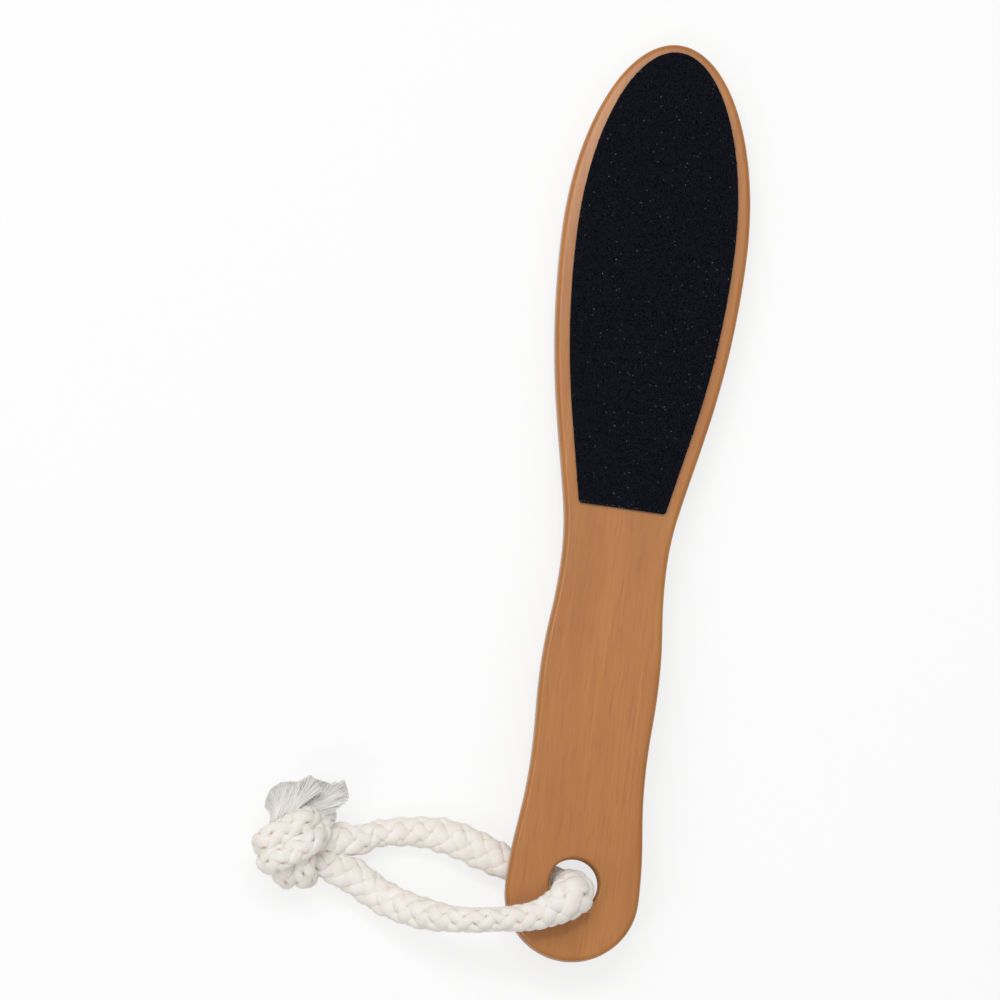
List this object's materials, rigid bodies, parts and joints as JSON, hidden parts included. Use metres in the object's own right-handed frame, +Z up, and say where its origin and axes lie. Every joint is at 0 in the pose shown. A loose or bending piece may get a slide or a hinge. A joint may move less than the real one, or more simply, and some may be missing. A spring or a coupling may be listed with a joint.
{
  "type": "foot file",
  "caption": "Wooden paddle with an abrasive sheet on each face of its rounded head, a waisted handle and a knotted cord loop through a hole in the handle's end.",
  "frame": {"origin": "middle of the paddle's length and width, on the surface that it lies on", "axes": "+X to the right of the paddle seen from its coarse face, +Y from the handle to the head, +Z up. The paddle is tilted by 1.94 degrees about X, because its handle lies on one leg of its own cord loop."},
  "size_m": [0.1214, 0.265, 0.0242],
  "materials": {
    "lacquered_wood": "satin lacquer over fine lengthwise grain",
    "adhesive_film": "translucent glue film",
    "backing_paper": "dark waterproof paper",
    "coarse_grit": "coarse black grain, sparkling",
    "fine_grit": "fine dark grain",
    "cotton_cord": "soft braided cotton",
    "cotton_yarn": "loose cotton yarn"
  },
  "bodies": {
    "paddle": {"paddle": "lacquered_wood", "front_adhesive": "adhesive_film", "front_backing": "backing_paper", "front_grit": "coarse_grit", "rear_adhesive": "adhesive_film", "rear_backing": "backing_paper", "rear_grit": "fine_grit"},
    "hang_loop": {"cord_loop": "cotton_cord", "cord_knot": "cotton_cord", "frayed_end_left": "cotton_yarn", "frayed_end_right": "cotton_yarn"}
  },
  "joints": [
    {"name": "loop_swing", "type": "hinge", "parent": "paddle", "child": "hang_loop", "pos_m": [0, -0.11044, 0.0119], "axis": [0, 0.0339, 0.9994], "range_deg": [-35, 190]}
  ]
}
